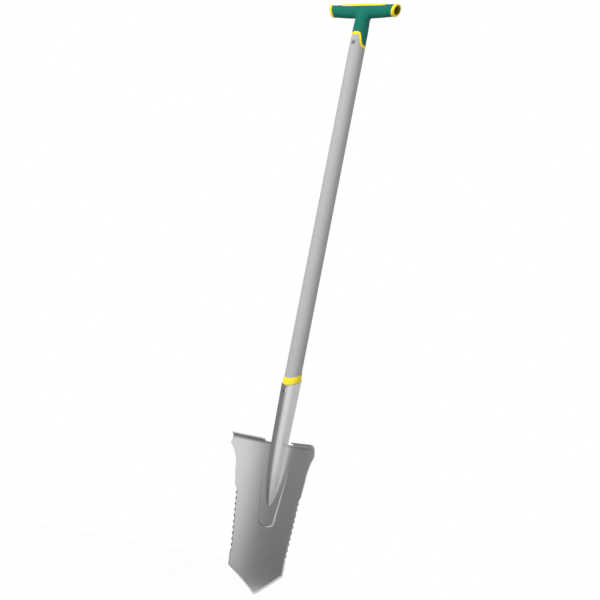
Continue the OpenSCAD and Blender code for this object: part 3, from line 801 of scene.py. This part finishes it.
# %% End rings and bore
BAR_HALF, RING_W, RING_R, BORE_R, CORE_R, COVER_R = 78.25, 6.5, 13.0, 9.0, 10.6, 12.3
END_SLANT = math.tan(math.radians(15))
BORE_SHOWN, BORE_MARGIN = 12.0, 0.05


def round_bar(radius, x, slant):
    """A ring of places round the T-bar at a place along it, leaning outwards at the top by slant."""
    turns = [2 * math.pi * i / RING_SEGMENTS for i in range(RING_SEGMENTS)]
    ring = [(radius * math.sin(a), radius * math.cos(a)) for a in turns]
    return [Vector((x + z * slant * (1 if x > 0 else -1), y, z)) for y, z in ring]


ring_x = BAR_HALF - RING_W
seat = [(CORE_R, ring_x - 1.0), (CORE_R, ring_x + 0.1)]
seat += [(RING_R - 0.5, ring_x + 0.1), (RING_R, ring_x + 0.6)]
soft_edge = [(0.0, 3.0), (0.25, 1.7), (0.85, 0.7), (1.7, 0.1), (2.6, 0.0)]
bore_edge = [(0.5, 0.1), (0.1, 0.5), (0.0, 1.1), (0.0, BORE_SHOWN)]
half_profile = seat + [(RING_R - inset, BAR_HALF - back) for inset, back in soft_edge]
half_profile += [(BORE_R + out, BAR_HALF - back) for out, back in bore_edge]
right_end = [round_bar(r, x, END_SLANT) for r, x in half_profile]
left_end = [round_bar(r, -x, END_SLANT) for r, x in reversed(half_profile)]
both_ends = grow(right_end + left_end, closed=True)
core_bar = add_piece("grip_core_bar", both_ends, yellow_hard, "yellow_plastic", "grip_core")
# Faces inside the bore get the dark yellow finish, which is painted shade.
core_bar.data.materials.append(bore_painted_shade)
for polygon in core_bar.data.polygons:
    off_axis = math.hypot(polygon.center.y, polygon.center.z)
    polygon.material_index = 1 if off_axis < (BORE_R + BORE_MARGIN) * MM else 0

# %% Strip along the top
STRIP_HALF, STRIP_W, STRIP_SINK = 57.0, 19.0, 1.6
STRIP_EDGE = [(0.0, -0.8), (0.0, 0.8), (0.35, 1.6), (1.1, 2.25), (2.2, 2.55)]
STRIP_CELL_ALONG, STRIP_CELL_ACROSS = 8.0, 1.2


def strip_outline():
    """A long outline with round ends, clockwise as seen from above."""
    radius = STRIP_W / 2
    right_end = arc(STRIP_HALF - radius, 0.0, radius, 90, -90, 18)
    return [Vector(p) for p in right_end + [(-x, -y) for x, y in right_end]]


outline = strip_outline()
strip_loops = []
for inset, height in STRIP_EDGE:
    moved = set_in(outline, [inset] * len(outline))
    strip_loops.append([Vector((p.x, p.y, height)) for p in moved])
strip = grow(strip_loops)
cut_across(strip, 0, steps_between(-STRIP_HALF, STRIP_HALF, STRIP_CELL_ALONG))
cut_across(strip, 1, steps_between(-STRIP_W / 2, STRIP_W / 2, STRIP_CELL_ACROSS))
for vert in strip.verts:
    across, sink = vert.co.y, STRIP_SINK * (vert.co.x / STRIP_HALF) ** 2
    vert.co.z = math.sqrt((COVER_R + vert.co.z - sink) ** 2 - across * across)
add_piece("grip_top_strip", strip, yellow_hard, "yellow_plastic")

# %% [markdown]
# ## The handle's soft cover
# The green cover is a bar with a fuller belly and a stem that flares into it. Two cylinders joined by a
# remesh would blend all round, but the real stem meets the bar in a pointed arch. So the bar is a row of
# rings whose lower half is pulled down towards the middle, and the stem's rings run up into the bar: the
# last few flare outwards at the sides and narrow towards the top in front, which draws that arch.

# %% Cover of the bar
SEAM, COVER_BREAK = 0.05, 0.5
COVER_END = BAR_HALF - RING_W - SEAM
BELLY_LOW, BELLY_WIDE = 3.3, 0.7
COVER_CELL, COVER_END_CELL = 6.0, 0.6


def cover_ring(x, inset=0.0):
    """A ring of the cover at a place along the bar: round above, fuller below near the middle."""
    share = x / COVER_END
    full = 1 - share * share
    ring = []
    for i in range(RING_SEGMENTS):
        a = 2 * math.pi * i / RING_SEGMENTS
        y = (COVER_R - inset + BELLY_WIDE * full * (0.5 - 0.5 * math.cos(a))) * math.sin(a)
        z = (COVER_R - inset) * math.cos(a)
        if z < 0:
            z *= 1 + BELLY_LOW * full / COVER_R
        ring.append(Vector((x + z * END_SLANT * share, y, z)))
    return ring


first, last = COVER_END_CELL - COVER_END, COVER_END - COVER_END_CELL
spots = [first] + steps_between(-COVER_END, COVER_END, COVER_CELL) + [last]
wall = COVER_R - CORE_R - SEAM
bar = [cover_ring(-COVER_END, wall), cover_ring(-COVER_END, COVER_BREAK)] + [cover_ring(x) for x in spots]
bar += [cover_ring(COVER_END, COVER_BREAK), cover_ring(COVER_END, wall)]
add_piece("grip_cover_bar", grow(bar, closed=True), green_soft, "green_cover")

# %% Cover of the stem
STEM_FOOT = [(2.4, -0.5), (0.5, 0.15), (-0.02, 0.6)]
EASED_UP_LEVEL, EASED_UP_INSET = 38.0, 0.32
MIDDLE_LEVEL, MIDDLE_R, PLAIN_LEVEL, PLAIN_R = 47.4, 15.35, 58.2, 14.9
STEM_FILLET = 4.4
FRONT_TOP = [(61.3, 14.75), (65.2, 14.6), (69.2, 14.4), (73.2, 13.95), (76.2, 13.3), (79.2, 12.4),
             (82.2, 11.2)]
stem = [on_shaft(trim_line, SHAFT_R - inset, lift) for inset, lift in STEM_FOOT]
for share in (0.3, 0.6, 1.0):
    stem.append(on_shaft(eased(trim_line, EASED_UP_LEVEL, share), SHAFT_R - EASED_UP_INSET * share))
stem.append(on_shaft([(a, MIDDLE_LEVEL) for a in even], MIDDLE_R))
stem.append(on_shaft([(a, PLAIN_LEVEL) for a in even], PLAIN_R))
for k, (front_level, front_r) in enumerate(FRONT_TOP):
    turn = math.pi / 2 * (k + 1) / len(FRONT_TOP)
    side_level = PLAIN_LEVEL + STEM_FILLET * math.sin(turn)
    side_r = PLAIN_R + STEM_FILLET * (1 - math.cos(turn))
    places = []
    for a in even:
        side = math.sin(a) ** 2
        radius = front_r + (side_r - front_r) * side
        level = front_level + (side_level - front_level) * side
        places.append(Vector((radius * math.sin(a), -radius * math.cos(a), SHOULDER_Z + level)))
    stem.append(places)
add_piece("grip_cover_stem", grow(stem), green_soft, "green_cover", "grip_cover")

# %% [markdown]
# ## Rivets
# Two blind rivets hold the shaft, one in the socket and one in the handle. Each has a domed head with a
# hole in its middle, where the end of the snapped pin shows. The hole lies in shade, so its mouth, and the
# socket rivet's pin, are painted near black: painted shade. A squashed sphere would do for the dome, but the
# hole needs rings about the rivet's axis anyway, so the head is a row of shrinking rings that turns inwards
# at the mouth.

# %% Build the rivets
RIVET_HEAD_R, MOUTH_R, PIN_R, RIVET_SEGMENTS = 4.8, 2.0, 1.35, 40
DOME_SHARES, DOME_POWER, DOME_EDGE = (1.0, 0.97, 0.9, 0.8, 0.68, 0.55, 0.42, 0.33), 2.4, 0.18
HEAD_FOOT, MOUTH_EASE, MOUTH_DEPTH = [(0.2, 2.2), (0.0, 0.5)], 0.25, 2.0


def rivet_ring(radius, y, z):
    """A ring of places round a rivet's axis, which points forward."""
    turns = [2 * math.pi * i / RIVET_SEGMENTS for i in range(RIVET_SEGMENTS)]
    return [Vector((radius * math.sin(a), y, z + radius * math.cos(a))) for a in turns]


def dome_rivet(name, z, seat_r, dome, node, material):
    """A domed rivet head that sits on a round wall of radius seat_r."""
    sections = [rivet_ring(RIVET_HEAD_R - inset, -seat_r + sunk, z) for inset, sunk in HEAD_FOOT]
    for share in DOME_SHARES:
        swell = math.sqrt(max(0.0, 1 - share ** DOME_POWER))
        height = dome * swell * (1 - DOME_EDGE) + dome * DOME_EDGE
        sections.append(rivet_ring(RIVET_HEAD_R * share, -seat_r - height, z))
    for mouth_y in (-seat_r - dome + MOUTH_EASE, -seat_r + MOUTH_DEPTH):
        sections.append(rivet_ring(PIN_R, mouth_y, z))
    head = add_piece(name, grow(sections), material, "rivet_metal", node)
    # Faces round the hole's mouth get the near-black finish, which is painted shade.
    head.data.materials.append(pin_painted_shade)
    for polygon in head.data.polygons:
        off_axis = math.hypot(polygon.center.x, polygon.center.z - z * MM)
        polygon.material_index = 1 if off_axis < MOUTH_R * MM else 0


SOCKET_RIVET_RISE, SOCKET_DOME = 95.0, 1.9
HANDLE_RIVET_RISE, HANDLE_DOME = 8.0, 1.2
socket_rivet_z, handle_rivet_z = TREAD_Z + SOCKET_RIVET_RISE, SHOULDER_Z + HANDLE_RIVET_RISE
seat_r = cone_r(SOCKET_RIVET_RISE)
dome_rivet("socket_rivet_head", socket_rivet_z, seat_r, SOCKET_DOME, "socket_rivet", rivet_bright)
dome_rivet("handle_rivet_head", handle_rivet_z, SHAFT_R, HANDLE_DOME, "handle_rivet", rivet_dull)

# %% [markdown]
# ## Pieces whose solid is already right
# The pins of the rivets and the plug in the shaft's foot are plain turned shapes, and hardly anything of
# them shows. They could be made again as finer meshes, but nobody would see it, so their CAD solids stay
# and only get a finish.

# %% Finishes for the kept solids
# The socket rivet's pin gets the near-black finish, painted shade of its hole.
KEPT = {"socket_rivet_pin": pin_painted_shade, "handle_rivet_pin": rivet_dull, "shaft_foot_plug": plug_black}
for node, material in KEPT.items():
    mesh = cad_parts[node].data
    mesh.materials.clear()
    mesh.materials.append(material)
    print("kept solid", node)

# %% [markdown]
# ## World, floor and lamps
# The picture has a plain white ground, so the world is white to the camera, also through glass. What the
# steel mirrors is another matter: a white room would leave it flat. To glossy rays the world is dark on the
# left and bright on the right, and a little dimmer behind the right, which shades the hollow of the blade
# and the round of the socket. Large cards beside the tool could do that too, but a gradient has no edges to
# show. To all other rays the world is an even soft light.

# %% Helpers for the gradients


def level_way(azimuth):
    """The level direction at an azimuth in degrees, counted from straight in front towards the right."""
    return Vector((math.sin(math.radians(azimuth)), -math.cos(math.radians(azimuth)), 0.0))


def vector_node(tree, operation, place, way=None):
    """Joins a place to a new vector node, with a fixed second vector where one is given."""
    node = add_node(tree, "ShaderNodeVectorMath", operation=operation)
    tree.links.new(place, node.inputs[0])
    if way:
        node.inputs[1].default_value = way
    return node


def fade(tree, value, start, end):
    """A soft fade of a value's socket: start and end are each an input and the output there."""
    node = add_node(tree, "ShaderNodeMapRange", interpolation_type="SMOOTHSTEP", From_Min=start[0],
                    From_Max=end[0], To_Min=start[1], To_Max=end[1])
    tree.links.new(value, node.inputs["Value"])
    return node.outputs["Result"]


def combine(tree, operation, first, second):
    """The result of an operation on two sockets."""
    node = add_node(tree, "ShaderNodeMath", operation=operation)
    tree.links.new(first, node.inputs[0])
    tree.links.new(second, node.inputs[1])
    return node.outputs[0]


def mix_shaders(tree, factor, plain_shader, other_shader):
    """A mix of two shaders, plain where the factor is 0."""
    node = add_node(tree, "ShaderNodeMixShader")
    tree.links.new(factor, node.inputs["Fac"])
    tree.links.new(plain_shader, node.inputs[1])
    tree.links.new(other_shader, node.inputs[2])
    return node.outputs["Shader"]


# %% World
WHITE = (1.0, 1.0, 1.0, 1.0)
BRIGHT_SIDE, BRIGHT_FROM, BRIGHT_TO = level_way(100), -0.67, -0.08
DIM_SIDE, DIM_FROM, DIM_TO, DIM_SHARE = level_way(140), -0.2, 0.5, 0.70
MIRROR_DARK, MIRROR_BRIGHT, SOFT_LEVEL = 0.235, 0.85, 0.56
world = bpy.data.worlds.new("studio")
scene.world = world
world.use_nodes = True
tree = world.node_tree
tree.nodes.clear()
way = add_node(tree, "ShaderNodeTexCoord").outputs["Generated"]
to_right = vector_node(tree, "DOT_PRODUCT", way, BRIGHT_SIDE).outputs["Value"]
to_back = vector_node(tree, "DOT_PRODUCT", way, DIM_SIDE).outputs["Value"]
brightness = fade(tree, to_right, (BRIGHT_FROM, MIRROR_DARK), (BRIGHT_TO, MIRROR_BRIGHT))
dimming = fade(tree, to_back, (DIM_FROM, 1.0), (DIM_TO, DIM_SHARE))
mirrored = add_node(tree, "ShaderNodeBackground", Color=WHITE)
tree.links.new(combine(tree, "MULTIPLY", brightness, dimming), mirrored.inputs["Strength"])
soft = add_node(tree, "ShaderNodeBackground", Color=WHITE, Strength=SOFT_LEVEL)
ground = add_node(tree, "ShaderNodeBackground", Color=WHITE)
ray = add_node(tree, "ShaderNodeLightPath").outputs
straight = combine(tree, "MAXIMUM", ray["Is Camera Ray"], ray["Is Transmission Ray"])
lit = mix_shaders(tree, ray["Is Glossy Ray"], soft.outputs["Background"], mirrored.outputs["Background"])
seen = mix_shaders(tree, straight, lit, ground.outputs["Background"])
tree.links.new(seen, add_node(tree, "ShaderNodeOutputWorld").inputs["Surface"])
print("world:", len(tree.nodes), "nodes")

# %% [markdown]
# The nose and the tongue's foot look downwards and mirror the floor. So the floor's colour carries painted
# light: the same gradient from left to right, and a small pale patch round the tool's point, where a sheet of
# white card would lie. A lamp from below could light those faces too, but it would light the shaft and the
# handle as well.
# To the camera the floor glows white, with a trace of its own shading left in. Its sizes are in metres, as
# those of the lamps are.

# %% Floor
FLOOR_R, FLOOR_DROP, FLOOR_ROUGHNESS, FLOOR_GLOW = 1.3, 0.002, 0.9, 0.98
FLOOR_DARK, FLOOR_BRIGHT = 0.12, 0.50
PATCH_NEAR, PATCH_FAR, PATCH_BRIGHT = 0.05, 0.15, 0.80
floor_bm = bmesh.new()
bmesh.ops.create_circle(floor_bm, cap_ends=True, segments=64, radius=FLOOR_R)
floor_mesh = bpy.data.meshes.new("floor")
floor_bm.to_mesh(floor_mesh)
floor_bm.free()
floor = bpy.data.objects.new("floor", floor_mesh)
floor.location.z = cad_box[0].z - FLOOR_DROP
scene.collection.objects.link(floor)
print("floor at", round(floor.location.z / MM, 1))

# %% Finish of the floor
pale_floor = bpy.data.materials.new("pale_floor")
pale_floor.use_nodes = True
tree = pale_floor.node_tree
shader = tree.nodes["Principled BSDF"]
shader.inputs["Roughness"].default_value = FLOOR_ROUGHNESS
place = add_node(tree, "ShaderNodeTexCoord").outputs["Object"]
distance = vector_node(tree, "LENGTH", place).outputs["Value"]
outward = vector_node(tree, "NORMALIZE", place).outputs["Vector"]
to_right = vector_node(tree, "DOT_PRODUCT", outward, BRIGHT_SIDE).outputs["Value"]
# Painted light on the floor: a pale patch at the tool's point and a brighter right half, for the steel to
# mirror.
patch = fade(tree, distance, (PATCH_NEAR, PATCH_BRIGHT), (PATCH_FAR, FLOOR_DARK))
right_half = fade(tree, to_right, (BRIGHT_FROM, FLOOR_DARK), (BRIGHT_TO, FLOOR_BRIGHT))
tree.links.new(combine(tree, "MAXIMUM", patch, right_half), shader.inputs["Base Color"])
scaled = add_node(tree, "ShaderNodeMath", operation="MULTIPLY")
scaled.inputs[1].default_value = FLOOR_GLOW
tree.links.new(add_node(tree, "ShaderNodeLightPath").outputs["Is Camera Ray"], scaled.inputs[0])
glow = add_node(tree, "ShaderNodeEmission").outputs["Emission"]
seen = mix_shaders(tree, scaled.outputs[0], shader.outputs["BSDF"], glow)
tree.links.new(seen, tree.nodes["Material Output"].inputs["Surface"])
floor_mesh.materials.append(pale_floor)
print("floor finish:", len(tree.nodes), "nodes")

# %% [markdown]
# Two large soft lamps light the grey, yellow and green pieces: a strong one at the upper left of the camera
# and a weak one at its right. A sun lamp would be simpler, but its shadows would be too hard. Steel would
# mirror the lamps as pale squares, so they are hidden from glossy rays.

# %% Lamps


def soft_lamp(name, place, aim, size, power):
    """A square area lamp that faces a point and shows in no mirror."""
    data = bpy.data.lights.new(name, "AREA")
    data.shape, data.size, data.energy = "SQUARE", size, power
    lamp = bpy.data.objects.new(name, data)
    scene.collection.objects.link(lamp)
    direction = Vector(aim) - Vector(place)
    lamp.matrix_world = Matrix.Translation(place) @ direction.to_track_quat("-Z", "Y").to_matrix().to_4x4()
    lamp.visible_glossy = False


soft_lamp("upper_left", place=(-0.6, -2.7, 0.7), aim=(0, 0, -0.5), size=1.4, power=72)
soft_lamp("front_right", place=(2.2, -2.6, 0.6), aim=(0, 0, -0.6), size=1.6, power=11)
